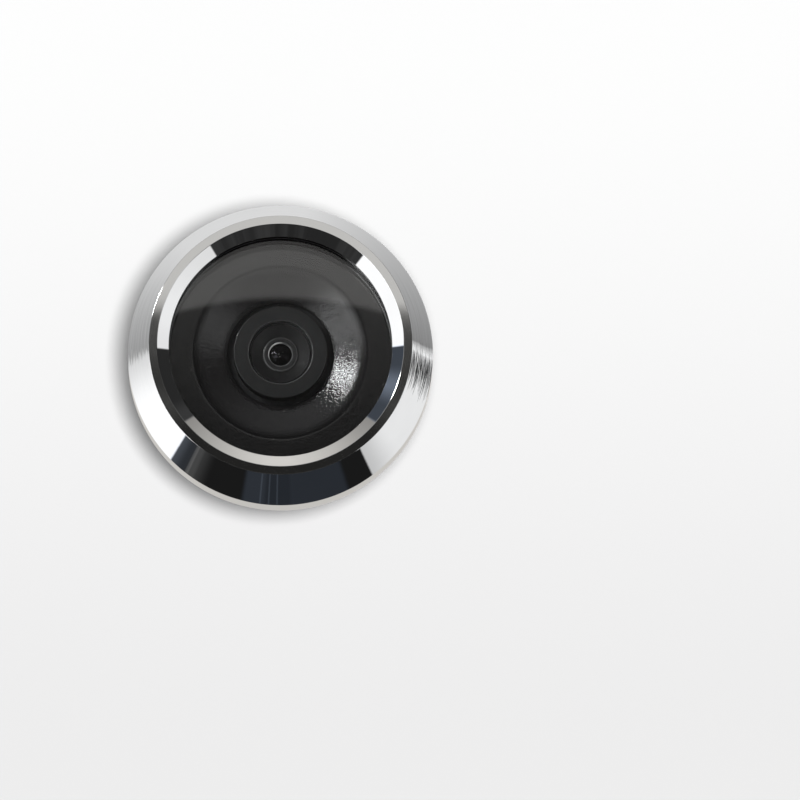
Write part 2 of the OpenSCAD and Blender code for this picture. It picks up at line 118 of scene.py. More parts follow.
# Faces of a grid that closes round its columns: its rows close too ("ring") or end in poles ("cap")
def closedSurface(points, normals, ends="ring"):
    rows, count = points.shape[:2]
    index = np.arange(rows * count).reshape(rows, count)
    if ends == "ring":
        below = np.roll(index, -1, 0)
        vertices, directions = points.reshape(-1, 3), normals.reshape(-1, 3)
        triangles = np.zeros((0, 3), int)
    else:
        index = index[:-2]
        first, last = index.size, index.size + 1
        vertices = np.concatenate((points[1:-1].reshape(-1, 3), points[:1, 0], points[-1:, 0]))
        directions = np.concatenate((normals[1:-1].reshape(-1, 3), normals[:1, 0], normals[-1:, 0]))
        poleFirst, poleLast = np.full(count, first), np.full(count, last)
        triangles = np.concatenate((
            np.stack((poleFirst, np.roll(index[0], -1), index[0]), -1),
            np.stack((poleLast, index[-1], np.roll(index[-1], -1)), -1)))
        index, below = index[:-1], index[1:]
    quads = np.stack((index, np.roll(index, -1, 1), np.roll(below, -1, 1), below), -1).reshape(-1, 4)
    def wedges(faces, second):
        corner = vertices[faces]
        return (corner[:, 0] * np.cross(corner[:, second], corner[:, second + 1])).sum()
    if wedges(quads, 1) + wedges(quads, 2) + wedges(triangles, 1) < 0:  # a volume below 0 is inside out
        quads, triangles = quads[:, ::-1], triangles[:, ::-1]
    corner = vertices[quads]
    facing = np.cross(corner[:, 2] - corner[:, 0], corner[:, 3] - corner[:, 1])
    if (facing * directions[quads[:, 0]]).sum() < 0:
        directions = -directions
    return vertices, directions, quads, triangles


# Surfaces become one piece that rides a body and stands for nodes of the frame
def addPiece(name, surfaces, body, standsFor, material):
    faces, offset = [], 0
    for vertices, _, quads, triangles in surfaces:
        faces += (quads + offset).tolist() + (triangles + offset).tolist()
        offset += len(vertices)
    mesh = bpy.data.meshes.new(name)
    points = np.concatenate([surface[0] for surface in surfaces]) * mm
    normals = np.concatenate([surface[1] for surface in surfaces])
    mesh.from_pydata(points.tolist(), [], faces)
    mesh.polygons.foreach_set("use_smooth", np.ones(len(faces), bool))
    mesh.normals_split_custom_set_from_vertices(normals.tolist())
    mesh.materials.append(material)
    piece = bpy.data.objects.new(name, mesh)
    bpy.context.scene.collection.objects.link(piece)
    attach(piece, body)
    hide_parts(*standsFor)


# A ring: a closed outline clear of the axis, turned
def turnedRing(corners, count=192, arcSteps=5):
    return closedSurface(*turnedGrid(*roundedOutline(corners, arcSteps), count))


# A disc: an outline that starts and ends on the axis, turned
def turnedDisc(corners, count=192, arcSteps=5):
    return closedSurface(*turnedGrid(*axisOutline(corners, arcSteps), count), "cap")


# Shader helpers: a wire is a socket that does sums

class Wire:
    tree = None

    def __init__(self, socket):
        self.socket = socket

    @classmethod
    def node(cls, kind, settings=None, inputs=None, output=0):
        made = cls.tree.nodes.new(kind)
        for name, value in (settings or {}).items():
            setattr(made, name, value)
        for name, value in (inputs or {}).items():
            if isinstance(value, Wire):
                cls.tree.links.new(value.socket, made.inputs[name])
            else:
                made.inputs[name].default_value = value
        return cls(made.outputs[output])

    @classmethod
    def sums(cls, operation, *values):
        return cls.node("ShaderNodeMath", {"operation": operation}, dict(enumerate(values)))

    def __add__(self, other):
        return Wire.sums("ADD", self, other)

    def __radd__(self, other):
        return Wire.sums("ADD", other, self)

    def __sub__(self, other):
        return Wire.sums("SUBTRACT", self, other)

    def __rsub__(self, other):
        return Wire.sums("SUBTRACT", other, self)

    def __mul__(self, other):
        return Wire.sums("MULTIPLY", self, other)

    def __rmul__(self, other):
        return Wire.sums("MULTIPLY", other, self)

    def __truediv__(self, other):
        return Wire.sums("DIVIDE", self, other)

    def __rtruediv__(self, other):
        return Wire.sums("DIVIDE", other, self)

    def __gt__(self, other):
        return Wire.sums("GREATER_THAN", self, other)

    def __lt__(self, other):
        return Wire.sums("LESS_THAN", self, other)

    def __abs__(self):
        return Wire.sums("ABSOLUTE", self)

    # Rises smoothly from 0 at low to 1 at high
    def rise(self, low, high):
        return Wire.node("ShaderNodeMapRange", {"interpolation_type": "SMOOTHSTEP"},
                         {"Value": self, "From Min": low, "From Max": high})

    # 1 between low and high, with soft ends
    def within(self, low, high, soft):
        return self.rise(low - soft, low + soft) * (1 - self.rise(high - soft, high + soft))

    # This wire as the share of the second colour
    def tint(self, first, second):
        sockets = {0: self, 6: colour(first), 7: colour(second)}
        return Wire.node("ShaderNodeMix", {"data_type": "RGBA"}, sockets, 2)


def colour(value):
    return value if isinstance(value, Wire) else (*value, 1)


def vector(x, y, z):
    return Wire.node("ShaderNodeCombineXYZ", None, {0: x, 1: y, 2: z})


def parts(wire):
    split = Wire.node("ShaderNodeSeparateXYZ", None, {0: wire}).socket.node
    return [Wire(s) for s in split.outputs]


def noise(place, scale=1, detail=2, rough=0.5):
    return Wire.node("ShaderNodeTexNoise", None,
                     {"Vector": place, "Scale": scale, "Detail": detail, "Roughness": rough})


def cells(place, scale):
    return Wire.node("ShaderNodeTexVoronoi", {"feature": "F1"}, {"Vector": place, "Scale": scale})


def bump(height, depth):
    return Wire.node("ShaderNodeBump", None, {"Height": height, "Distance": depth * mm, "Strength": 1})


def principled(**inputs):
    return Wire.node("ShaderNodeBsdfPrincipled", None, {k.replace("_", " "): v for k, v in inputs.items()})


# Object coordinates in millimetres: x, y, z, the distance from the axis, and the direction round the axis
class Place:
    def __init__(self):
        where = Wire.node("ShaderNodeTexCoord", None, None, 3)
        self.x, self.y, self.z = [part * 1000 for part in parts(where)]
        self.flat = vector(self.x, self.y, self.z)
        self.radius = Wire.sums("SQRT", self.x * self.x + self.z * self.z) + 0.0001
        self.roundX, self.roundZ = self.x / self.radius, self.z / self.radius

    # Turning marks: fine across the surface, long round the axis
    def turning(self, perMm, roundScale, detail):
        across = (self.y + 1.7 * self.radius) * perMm
        return noise(vector(self.roundX * roundScale, self.roundZ * roundScale, across), 1, detail, 0.6)


def startNodes(owner):
    owner.use_nodes = True
    Wire.tree = owner.node_tree
    Wire.tree.nodes.clear()
    return owner


def startMaterial(name):
    return startNodes(bpy.data.materials.new(name))


def showSurface(shader, output="ShaderNodeOutputMaterial"):
    made = Wire.tree.nodes.new(output)
    Wire.tree.links.new(shader.socket, made.inputs["Surface"])


def mixed(share, first, second):
    return Wire.node("ShaderNodeMixShader", None, {0: share, 1: first, 2: second})


def added(first, second):
    return Wire.node("ShaderNodeAddShader", None, {0: first, 1: second})


def filmOf(tint):
    return Wire.node("ShaderNodeBsdfTransparent", None, {"Color": colour(tint)})


# Plain finish: one noise gives the tint, the roughness and a fine relief
def grainFinish(name, facts, **more):
    material = startMaterial(name)
    grain = noise(Place().flat, facts["scale"], facts["detail"], facts["coarse"])
    showSurface(principled(Base_Color=grain.tint(facts["dark"], facts["light"]),
                           Roughness=facts["rough"] + facts["roughMore"] * grain,
                           Normal=bump(grain, facts["relief"]), **more))
    return material


# Camera: it stands a little below the axis, and the head is left of and above the middle of the frame

shot = {
    "below": 10.9,  # degrees under the axis
    "distance": 1.5,
    "frameWidth": 0.0945,  # of the frame at the head
    "aside": 0.01413,  # from the head to the frame's middle
    "lower": 0.00496,
    "midLevel": 0.00257,  # level of the point that is aimed from
    "sensor": 36,
}
tilt = math.radians(shot["below"])
lookAlong = Vector((0, math.cos(tilt), math.sin(tilt)))
imageUp = Vector((0, -math.sin(tilt), math.cos(tilt)))
headMiddle = Vector((0, -shot["midLevel"], 0))
aim = headMiddle + Vector((shot["aside"], 0, 0)) - imageUp * shot["lower"]
cameraData = bpy.data.cameras.new("mainCamera")
cameraData.sensor_width = shot["sensor"]
cameraData.lens = shot["sensor"] * shot["distance"] / shot["frameWidth"]
cameraData.clip_start, cameraData.clip_end = 0.01, 20
camera = bpy.data.objects.new("mainCamera", cameraData)
bpy.context.scene.collection.objects.link(camera)
camera.location = headMiddle - lookAlong * shot["distance"]
camera.rotation_euler = (aim - camera.location).to_track_quat("-Z", "Y").to_euler()
bpy.context.scene.camera = camera
bpy.context.scene.view_settings.view_transform = "Standard"
print("camera placed")

# Studio: soft white boxes left and right, a grey ceiling and dark cards, laid out round the line
# along which a flat front mirrors the camera. Turn is the angle round that line, height the angle above
# its level on either side, and spread the sine from it.

studio = {
    # behind the head: levels that the cone and the straight side mirror
    "rearTop": 0.81, "rearRight": 0.28, "rearLeft": 1.3, "rearLower": 1.0, "rearDark": 0.0125,
    "rearLevel": 0.63,
    "darkFrom": -135.8, "darkTo": -52.8,  # turn of the dark field below
    "coneSpread": 0.658, "coneSwing": 0.329,  # spread that the cone's sides mirror, and its fall to the top
    # in front of the head: levels that the chamfer mirrors
    "frontLeft": 1.27, "frontRight": 1.06, "frontTop": 0.79, "frontDark": 0.008, "frontLow": 0.0185,
    # heights of the boxes' ends and of the ceiling's edge, in degrees
    "leftBox": (-47.8, 0.3), "rightBox": (-55, 1.7), "ceiling": 39.5,
    # in front of the head: levels that the window and the dish mirror
    "overhead": 0.66, "dishLeft": 2.8, "dishRight": 0.95, "dishFill": 0.5, "sparkle": 51.0, "floorCard": 0.25,
    "veilUp": 6.95, "veilBow": 0.0114,  # on the window: height in millimetres, drop per square millimetre
    # tints
    "plain": (1, 1, 1), "warm": (1, 0.97, 0.92), "cool": (0.83, 0.965, 1.2),
    "paperLow": (0.86, 0.86, 0.855), "paperHigh": (0.95, 0.95, 0.95),
}
world = startNodes(bpy.data.worlds.new("studio"))
bpy.context.scene.world = world
degrees = 360 / fullTurn
dirX, dirY, dirZ = parts(Wire.node("ShaderNodeTexCoord", None, None, 0))
lift = dirZ - math.sin(tilt)
spread = Wire.sums("SQRT", dirX * dirX + lift * lift) + 0.0001
turn = Wire.sums("ARCTAN2", lift, dirX) * degrees
height = Wire.sums("ARCTAN2", lift, abs(dirX)) * degrees
inFront = dirY < 0
onRight = dirX > 0
onLeft = 1 - onRight

# Behind the head. Lean is how far a turning mark tips the cone.
darkFrom, darkTo = studio["darkFrom"], studio["darkTo"]
lean = spread - studio["coneSpread"] + studio["coneSwing"] * (lift / spread)
stripes = noise(vector(turn * 0.16, 0.3, 0.7), 1, 3, 0.7).rise(0.42, 0.68)
bands = turn.within(darkFrom, -128.3, 0.5) * (0.025 + 0.05 * (0 - turn).rise(130.5, 135.4))
bands = bands + turn.within(-128.3, -117, 0.5) * (0 - turn).rise(118.5, 127) * (0.045 + 0.03 * stripes)
# Faint strips in the dark field: turn from and to, softness of the edges, level
strips = [(-128.9, -127.4, 0.3, 0.05), (-104.5, -96, 1.2, 0.027), (-96, -86, 1.5, 0.015)]
strips += [(-86, -63.5, 1.2, 0.02)]
strips += [(middle - 0.3, middle + 0.3, 0.2, 0.03) for middle in (-97.7, -94.4, -91.2)]
for stripFrom, stripTo, soft, level in strips:
    bands = bands + turn.within(stripFrom, stripTo, soft) * level
leftLevel = studio["rearLeft"] * (0.62 + 0.38 * (0 - height).rise(0, 24))
rightLevel = studio["rearLower"] * (0.66 + 0.34 * turn.rise(-54, -38))
lower = height.within(-180 - darkFrom, 60, 0.5) * onLeft * leftLevel
lower = lower + turn.within(darkFrom, darkTo, 0.5) * (studio["rearDark"] + bands)
lower = lower + turn.within(darkTo, 1, 0.5) * rightLevel
streaked = (height + 70 * lean).within(-13.6, -3.6, 1) * onRight
lower = lower * (1 - 0.95 * streaked)
around = turn + 360 * (turn < -90)
upper = Wire.sums("MINIMUM", studio["rearRight"] + 0.0066 * around, studio["rearTop"])
upper = upper * (1 - 0.53 * around.rise(128, 190)) * (1 + 1.6 * lean)
upperPart = (height + 25 * lean + 3 * onLeft).rise(-1, 1)
cone = upper * upperPart + lower * (1 - upperPart)
cone = cone + 0.3 * height.within(-2, 2, 0.7) * onRight
straightSide = (1 - spread.rise(0.48, 0.6)) * (1 - height.rise(-1, 1))
rear = cone * (1 - straightSide) + studio["rearLevel"] * straightSide

# In front of the head, far from the line: what the chamfer mirrors
leftFoot, leftTop = studio["leftBox"]
rightFoot, rightTop = studio["rightBox"]
wide = spread.rise(0.86, 0.9)
low = spread.rise(0.74, 0.78)
ceiling = turn.within(studio["ceiling"], 180 - studio["ceiling"], 0.8) * low
rightLight = studio["frontRight"] * (0.87 + 0.13 * height.rise(rightFoot, -15))
rightLight = rightLight * (1 - 0.08 * height.rise(-14, 0))
ringLight = height.within(rightFoot, rightTop, 0.5) * onRight * rightLight
ringLight = ringLight + height.within(leftFoot, leftTop, 0.5) * onLeft * studio["frontLeft"]
curtain = noise(vector(turn * 0.11, 0.4, 0.2), 1, 3, 0.7).rise(0.42, 0.66)
lowCard = turn.within(-180 - leftFoot, rightFoot, 0.5) * studio["frontLow"] * (0.85 + 1.1 * curtain)
ringLight = ringLight + lowCard
blueCard = 0.066 + 0.137 * height.rise(9, 20) * (1 - height.rise(20, 31))
blackCard = 0.019 + 0.022 * height.rise(27, 36)
darkSides = height.within(leftTop, studio["ceiling"], 0.8) * onLeft * blueCard
darkSides = darkSides + height.within(rightTop, studio["ceiling"], 0.8) * onRight * blackCard

# Near the line: what the lip and the window mirror, with the lower edge of the overhead light as a veil
nearAxis = 1 - spread.rise(0.03, 0.06)
toWindow = shot["distance"] / mm
seenX, seenZ = dirX * toWindow, lift * toWindow
veilEdge = studio["veilUp"] - studio["veilBow"] * seenX * seenX + 1.2 * abs(seenX).rise(13.2, 14)
veil = (seenZ - veilEdge).rise(-0.55, 0.55)
sideGlow = abs(seenX).rise(11, 12.8) * seenZ.within(-8, -4, 1.5)
underVeil = 0.015 + 0.06 * seenZ.rise(-9, 6) + 0.04 * sideGlow
axisLight = nearAxis * (underVeil + veil * studio["overhead"])

# Between the two: what the dish mirrors
dishRing = spread.rise(0.02, 0.48) * (1 - spread.rise(0.67, 0.77))
dishLight = turn.within(-176, -130, 6) * studio["dishLeft"] + turn.within(-42, -4, 7) * studio["dishRight"]
dishLight = dishLight + turn.rise(0, 100) * studio["dishFill"]
dishLight = dishLight + turn.within(155, 165, 3) * spread.rise(0.3, 0.57) * studio["sparkle"]
floorCard = turn.within(-140, -40, 6) * spread.within(0.1, 0.3, 0.04) * studio["floorCard"]
front = studio["frontDark"] + ceiling * studio["frontTop"] * (0.32 + 0.68 * height.rise(25, 90))
front = front + ringLight * wide + darkSides * low + axisLight + dishRing * dishLight + floorCard

strength = front * inFront + rear * (1 - inFront)
coolRear = turn.within(-105, -63, 1) + 0.7 * turn.within(darkFrom, -129, 1)
coolRear = coolRear * (1 - inFront) * (1 - straightSide)
coolFront = height.within(leftTop, studio["ceiling"], 1) * onLeft * inFront * low
warmFront = (ceiling + 0.5 * nearAxis) * inFront + straightSide * (1 - inFront)
studioTint = warmFront.tint(studio["plain"], studio["warm"])
studioTint = (coolRear + coolFront).tint(studioTint, studio["cool"])
paperTint = dirZ.rise(-0.3, 0.3).tint(studio["paperLow"], studio["paperHigh"])
toCamera = Wire.node("ShaderNodeLightPath", None, None, 0)
studioLight = Wire.node("ShaderNodeBackground", None, {"Color": studioTint, "Strength": strength})
paperLight = Wire.node("ShaderNodeBackground", None, {"Color": paperTint, "Strength": 1.0})
showSurface(mixed(toCamera, studioLight, paperLight), "ShaderNodeOutputWorld")

# Pale sweep of paper behind and below: a floor that curves up into a wall, clear when seen from behind.
# Its own lamp stands near the camera and lights nothing else, so the head's soft shadow falls close round it.
# The paper glows by what the lamp leaves to be made up, so that only the shadow shows on it.

sweep = {
    "wall": 420, "floor": -420, "bend": 160, "front": -2600, "top": 1500, "half": 2200,
    "tone": 0.803, "toneMore": 0.14, "toneFrom": 19.5, "toneTo": 135,  # paler upwards, heights in millimetres
    "own": 0.04,  # what the bare paper gives back
    "lampRight": 0.173, "lampUp": -10.836, "lampAway": 1405, "lampSize": 12.7, "lampShare": 0.74,
}
lampSide, lampRise = math.radians(sweep["lampRight"]), math.radians(sweep["lampUp"])
lampLevel = math.cos(lampRise)
lampWay = Vector((math.sin(lampSide) * lampLevel, -math.cos(lampSide) * lampLevel, math.sin(lampRise)))
lampSpot = lampWay * sweep["lampAway"]
lampToWall = sweep["wall"] - lampSpot.y
wall, floor, bend = sweep["wall"], sweep["floor"], sweep["bend"]
arc = np.linspace(0, math.pi / 2, 13)
sweepY = np.concatenate(([sweep["front"]], wall - bend + bend * np.sin(arc), [wall]))
sweepZ = np.concatenate(([floor], floor + bend - bend * np.cos(arc), [sweep["top"]]))
sweepX = np.array([-sweep["half"], sweep["half"]])
sweepPoints = np.stack(np.broadcast_arrays(sweepX[None], sweepY[:, None], sweepZ[:, None]), -1)
sweepIndex = np.arange(sweepPoints.shape[0] * 2).reshape(-1, 2)
sweepFaces = np.stack((sweepIndex[:-1, 0], sweepIndex[:-1, 1], sweepIndex[1:, 1], sweepIndex[1:, 0]), -1)
paperMaterial = startMaterial("pale_paper")
place = Place()
paperGrain = noise(place.flat, 0.8, 3)
paperTone = sweep["tone"] + sweep["toneMore"] * place.z.rise(sweep["toneFrom"], sweep["toneTo"])
asideX, asideZ = place.x - lampSpot.x, place.z - lampSpot.z
lampFall = lampToWall ** 2 / (asideX * asideX + asideZ * asideZ + lampToWall ** 2)
lampLit = lampFall * lampFall * sweep["lampShare"] * (1 - place.y.rise(wall, wall - bend))
glow = Wire.node("ShaderNodeEmission", None, {"Strength": paperTone - lampLit})
paperSurface = principled(Base_Color=(sweep["own"], sweep["own"], sweep["own"], 1),
                          Roughness=0.9 + 0.05 * paperGrain, Specular_IOR_Level=0.0)
fromBehind = Wire.node("ShaderNodeNewGeometry", None, None, 6)
showSurface(mixed(fromBehind, added(paperSurface, glow), filmOf((1, 1, 1))))
sweepMesh = bpy.data.meshes.new("paper_sweep")
sweepMesh.from_pydata((sweepPoints.reshape(-1, 3) * mm).tolist(), [], sweepFaces.tolist())
sweepMesh.polygons.foreach_set("use_smooth", np.ones(len(sweepFaces), bool))
sweepMesh.materials.append(paperMaterial)
sweepPiece = bpy.data.objects.new("paper_sweep", sweepMesh)
bpy.context.scene.collection.objects.link(sweepPiece)
sweepPiece.visible_glossy = False

lampData = bpy.data.lights.new("paper_lamp", "AREA")
lampData.shape = "DISK"
lampData.size = sweep["lampSize"] * mm
lampData.energy = sweep["lampShare"] / sweep["own"] * math.pi ** 2 * (lampToWall * mm) ** 2
lamp = bpy.data.objects.new("paper_lamp", lampData)
bpy.context.scene.collection.objects.link(lamp)
lamp.location = lampSpot * mm
lamp.rotation_euler = Vector((0, 1, 0)).to_track_quat("-Z", "Y").to_euler()
lamp.visible_camera = False
lamp.visible_glossy = False
paperOnly = bpy.data.collections.new("paper_only")
paperOnly.objects.link(sweepPiece)
lamp.light_linking.receiver_collection = paperOnly
print("studio ready")

# Bezel: turned and polished chrome, with fine turning marks

bezel = {
    "coneHigh": 6.5, "coneWide": 2.5, "lipWide": 1.0, "chamferWide": 1.35, "chamferDeep": 1.0,
    "revealDeep": 1.0, "seatWide": 0.9, "skirtWall": 0.6, "stepFace": 3.4,
    "edge": 0.03, "lipEdge": 0.06, "innerEdge": 0.1,
    "marks": 0.055, "dull": (0.74, 0.745, 0.75), "clean": (0.8, 0.805, 0.81), "lipTint": (0.62, 0.62, 0.61),
}
bezelBack, lipFace = levels("bezel")
bezelRadius = outerRadius("bezel")
sideTop = lipFace - bezel["coneHigh"]
lipRadius = bezelRadius - bezel["coneWide"]
chamferRadius = lipRadius - bezel["lipWide"]
openingRadius = chamferRadius - bezel["chamferWide"]
chamferFoot = lipFace - bezel["chamferDeep"]
ledge = chamferFoot - bezel["revealDeep"]
cavityRadius = openingRadius + bezel["seatWide"]
skirtRadius = bezelRadius - bezel["skirtWall"]

chrome = startMaterial("polished_chrome")
place = Place()
onCone = place.radius.rise(lipRadius + 0.03, lipRadius + 0.15)
atSides = 1 - abs(place.roundZ).rise(0.25, 0.6)
marks = place.turning(0.8, 1.3, 3) - 0.5 + 0.25 * (place.turning(2.6, 2, 2) - 0.5)
marks = marks * onCone * (0.2 + 0.8 * atSides)
smudge = noise(place.flat, 0.25, 3)
chromeTint = smudge.tint(bezel["dull"], bezel["clean"])
onLip = place.radius.within(chamferRadius + 0.06, lipRadius - 0.04, 0.04)
chromeTint = (onLip * 0.5).tint(chromeTint, bezel["lipTint"])
showSurface(principled(Base_Color=chromeTint, Metallic=1.0, Roughness=0.01 + 0.03 * smudge * smudge,
                       Normal=bump(marks, bezel["marks"])))

bezelRing = turnedRing([
    (bezelRadius, bezelBack, 0.12), (bezelRadius, sideTop, bezel["edge"]),
    (lipRadius, lipFace, bezel["lipEdge"]), (chamferRadius, lipFace, bezel["innerEdge"]),
    (openingRadius, chamferFoot, 0.04), (openingRadius, ledge, 0.03), (cavityRadius, ledge, 0.05),
    (cavityRadius, bezel["stepFace"], 0.05), (skirtRadius, bezel["stepFace"], 0.05),
    (skirtRadius, bezelBack, 0.1)], 288, 6)
addPiece("turned_bezel", [bezelRing], "head", ["bezel"], chrome)
print("bezel made")

# Window: flat clear glass with a little dust

window = {"edge": 0.12, "bends": 1.52, "clear": (0.955, 0.96, 0.96),
          "dust": 0.3, "dustTint": (0.5, 0.5, 0.48)}
windowBack, windowFront = levels("front_window")
windowRadius = outerRadius("front_window")
windowGlass = startMaterial("window_glass")
place = Place()
speck = cells(place.flat, 0.9)
pick = noise(place.flat, 0.55, 1)
dust = (1 - speck.rise(0.04, 0.1)) * pick.rise(0.52, 0.64) * (1 - place.z.rise(-4, 5))
windowGloss = principled(Base_Color=(0, 0, 0, 1), Roughness=0.0, IOR=window["bends"])
dustShade = principled(Base_Color=colour(window["dustTint"]), Roughness=0.9)
showSurface(mixed(dust * window["dust"], added(filmOf(window["clear"]), windowGloss), dustShade))
windowDisc = turnedDisc([
    (0, windowBack, 0), (windowRadius, windowBack, window["edge"]),
    (windowRadius, windowFront, window["edge"]), (0, windowFront, 0)])
addPiece("flat_window", [windowDisc], "head", ["front_window"], windowGlass)

# Shroud: black moulding with a grained dish round the lens, a rim under the window and three posts

shroud = {
    "behindWindow": 1.5, "wall": 0.8, "rimWall": 0.6, "dishRadius": 9.6, "dishDeep": 1.1, "dishEdge": 6.0,
    "holeRadius": 6.2, "hubWide": 0.9, "postRadius": 1.2, "postCount": 3, "postFirst": 30,
    "grain": 0.035, "grainScale": 4.8, "dark": (0.0063, 0.0058, 0.006), "light": (0.0105, 0.0097, 0.0101),
    # the flat's tint, then the tint of the painted shade by the hole
    "flatTint": (0.004, 0.0037, 0.0039), "holeShadeTint": (0.004, 0.0038, 0.0039),
}
shroudRadius = outerRadius("shroud")
postFoot, rimFront = levels("shroud")
shroudFace = windowBack - shroud["behindWindow"]
shroudBack = shroudFace - shroud["wall"]
dishFoot = shroudFace - shroud["dishDeep"]
hubFoot = dishFoot - shroud["wall"]
rimInside = shroudRadius - shroud["rimWall"]
grained = startMaterial("grained_black")
place = Place()
inDish = 1 - place.radius.rise(shroud["dishRadius"] - 1, shroud["dishRadius"] + 0.8)
grainFine = noise(place.flat, shroud["grainScale"], 1, 0.4)
grainCell = cells(place.flat, shroud["grainScale"])
grainHeight = (grainFine - 0.5 + 0.08 * grainCell) * (0.02 + 0.98 * inDish)
grainTint = noise(place.flat, 3, 2).tint(shroud["dark"], shroud["light"])
grainTint = inDish.tint(shroud["flatTint"], grainTint)
grainShade = principled(Base_Color=grainTint, Roughness=0.075 + 0.05 * grainFine,
                        Coat_Weight=0.35 - 0.35 * inDish, Coat_Roughness=0.05,
                        Normal=bump(grainHeight, shroud["grain"]))
# Painted shade by the hole: a dark shader that hardly reflects, mixed in by the band below
paintedHoleShade = principled(Base_Color=colour(shroud["holeShadeTint"]), Roughness=0.6, Specular_IOR_Level=0.05)
# Painted shade: a dark, dull band by the hole at the upper left stands in for the soft shade beside the hood
shadeByHole = 1 - (place.radius - shroud["holeRadius"]).rise(-0.1, 1.0)
shadeByHole = shadeByHole * (0.64 * place.roundZ - 0.77 * place.roundX).rise(0, 0.5)
showSurface(mixed(shadeByHole, grainShade, paintedHoleShade))
postCircle = (shroud["dishRadius"] + shroudRadius) / 2
postTop = shroudFace - shroud["wall"] / 2
postPoints, postNormals = turnedGrid(*axisOutline([
    (0, postFoot, 0), (shroud["postRadius"], postFoot, 0.1),
    (shroud["postRadius"], postTop, 0.1), (0, postTop, 0)]), 40)
posts = []
for postAngle in np.radians(shroud["postFirst"] + np.arange(shroud["postCount"]) * 360 / shroud["postCount"]):
    aside = postCircle * np.array((math.cos(postAngle), 0, math.sin(postAngle)))
    posts.append(closedSurface(postPoints + aside, postNormals, "cap"))
shell = turnedRing([
    (shroud["holeRadius"], hubFoot, 0.05), (shroud["holeRadius"] + shroud["hubWide"], hubFoot, 0.1),
    (shroud["dishRadius"], shroudBack, 0.4), (shroudRadius, shroudBack, 0.2), (shroudRadius, rimFront, 0.05),
    (rimInside, rimFront, 0.05), (rimInside, shroudFace, 0.3),
    (shroud["dishRadius"], shroudFace, shroud["dishEdge"]), (shroud["holeRadius"], dishFoot, 0.12)], 192, 12)
addPiece("grained_shroud", [shell] + posts, "head", ["shroud"], grained)
print("window and shroud made")

# Lens hood: satin black ring round the lens, with a painted highlight on the mouth's edge and painted shade
# on the outer wall

hood = {
    "boreRadius": 4.05, "mouthRadius": 3.75, "lip": 0.7, "edge": 0.14, "marks": 0.004,
    # the last two tints: painted highlight on the mouth's edge, then painted shade on the outer wall
    "dark": (0.004, 0.004, 0.0041), "light": (0.008, 0.008, 0.0082), "highlightTint": (0.07, 0.07, 0.07),
    "wallShadeTint": (0.0045, 0.0043, 0.0044),
}
hoodBack, hoodFront = levels("lens_hood")
hoodRadius = outerRadius("lens_hood")
lipBack = hoodFront - hood["lip"]
satin = startMaterial("satin_black")
place = Place()
hoodMarks = place.turning(7, 3, 2)
satinTint = noise(place.flat, 1.4, 3).tint(hood["dark"], hood["light"])
# Painted highlight: a pale ring on the mouth's edge, fainter at the top, for the light that the edge catches
mouthHighlight = place.radius.within(hood["mouthRadius"] + 0.01, hood["mouthRadius"] + 0.1, 0.03)
mouthHighlight = mouthHighlight * (1 - 0.6 * place.roundZ.rise(-0.2, 0.7))
satinFace = principled(Base_Color=mouthHighlight.tint(satinTint, hood["highlightTint"]),
                       Roughness=0.27 + 0.1 * hoodMarks, Specular_IOR_Level=0.36,
                       Normal=bump(hoodMarks, hood["marks"]))
# Painted shade: the hood's outer wall is dark and dull, standing in for the shade in the gap round the hood
shadedSatinWall = principled(Base_Color=colour(hood["wallShadeTint"]), Roughness=0.6 + 0.1 * hoodMarks,
                       Specular_IOR_Level=0.05)
onWall = place.radius.rise(hoodRadius - 0.06, hoodRadius - 0.02)
showSurface(mixed(onWall, satinFace, shadedSatinWall))
hoodRing = turnedRing([
    (hood["boreRadius"], hoodBack, 0.05), (hoodRadius, hoodBack, 0.05), (hoodRadius, hoodFront, hood["edge"]),
    (hood["mouthRadius"], hoodFront, hood["edge"]), (hood["mouthRadius"], lipBack, 0.03),
    (hood["boreRadius"], lipBack, 0.03)])
addPiece("satin_hood", [hoodRing], "head", ["lens_hood"], satin)

# Lens retainer: black funnel with a raised ringed nose round the glass, worn bare at the nose's edges, which
# are also lightened as painted highlights, most at the upper left of the glass

retainer = {
    "aperture": 1.35, "mouth": 0.24, "nose": 2.0, "noseHigh": 0.65,
    "footInner": 2.1, "footOuter": 2.95, "foot": 0.4,
    "dark": (0.0052, 0.005, 0.0052), "light": (0.0095, 0.0092, 0.0095),
    # tints of the worn edges, which also paint their highlights, and of the brightest painted highlight
    "worn": (0.10, 0.10, 0.10), "highlightMost": (0.55, 0.55, 0.55), "marks": 0.003,
}
retainerFoot, retainerFront = levels("lens_retainer")
retainerRadius = outerRadius("lens_retainer")
retainerBack = retainerFoot + retainer["foot"]
noseFront = retainerBack + retainer["noseHigh"]
funnelFoot = noseFront - retainer["noseHigh"] / 2
lensBlack = startMaterial("lens_black")
place = Place()
lensMarks = place.turning(9, 3, 2)
# The nose's edges: worn bare, and lightened to paint the highlights that their rings catch
atNose = place.radius.within(retainer["nose"] - 0.07, retainer["nose"] + 0.03, 0.02)
atGlass = place.radius.within(retainer["aperture"], retainer["aperture"] + 0.11, 0.02)
wearAndHighlightRing = atNose + atGlass
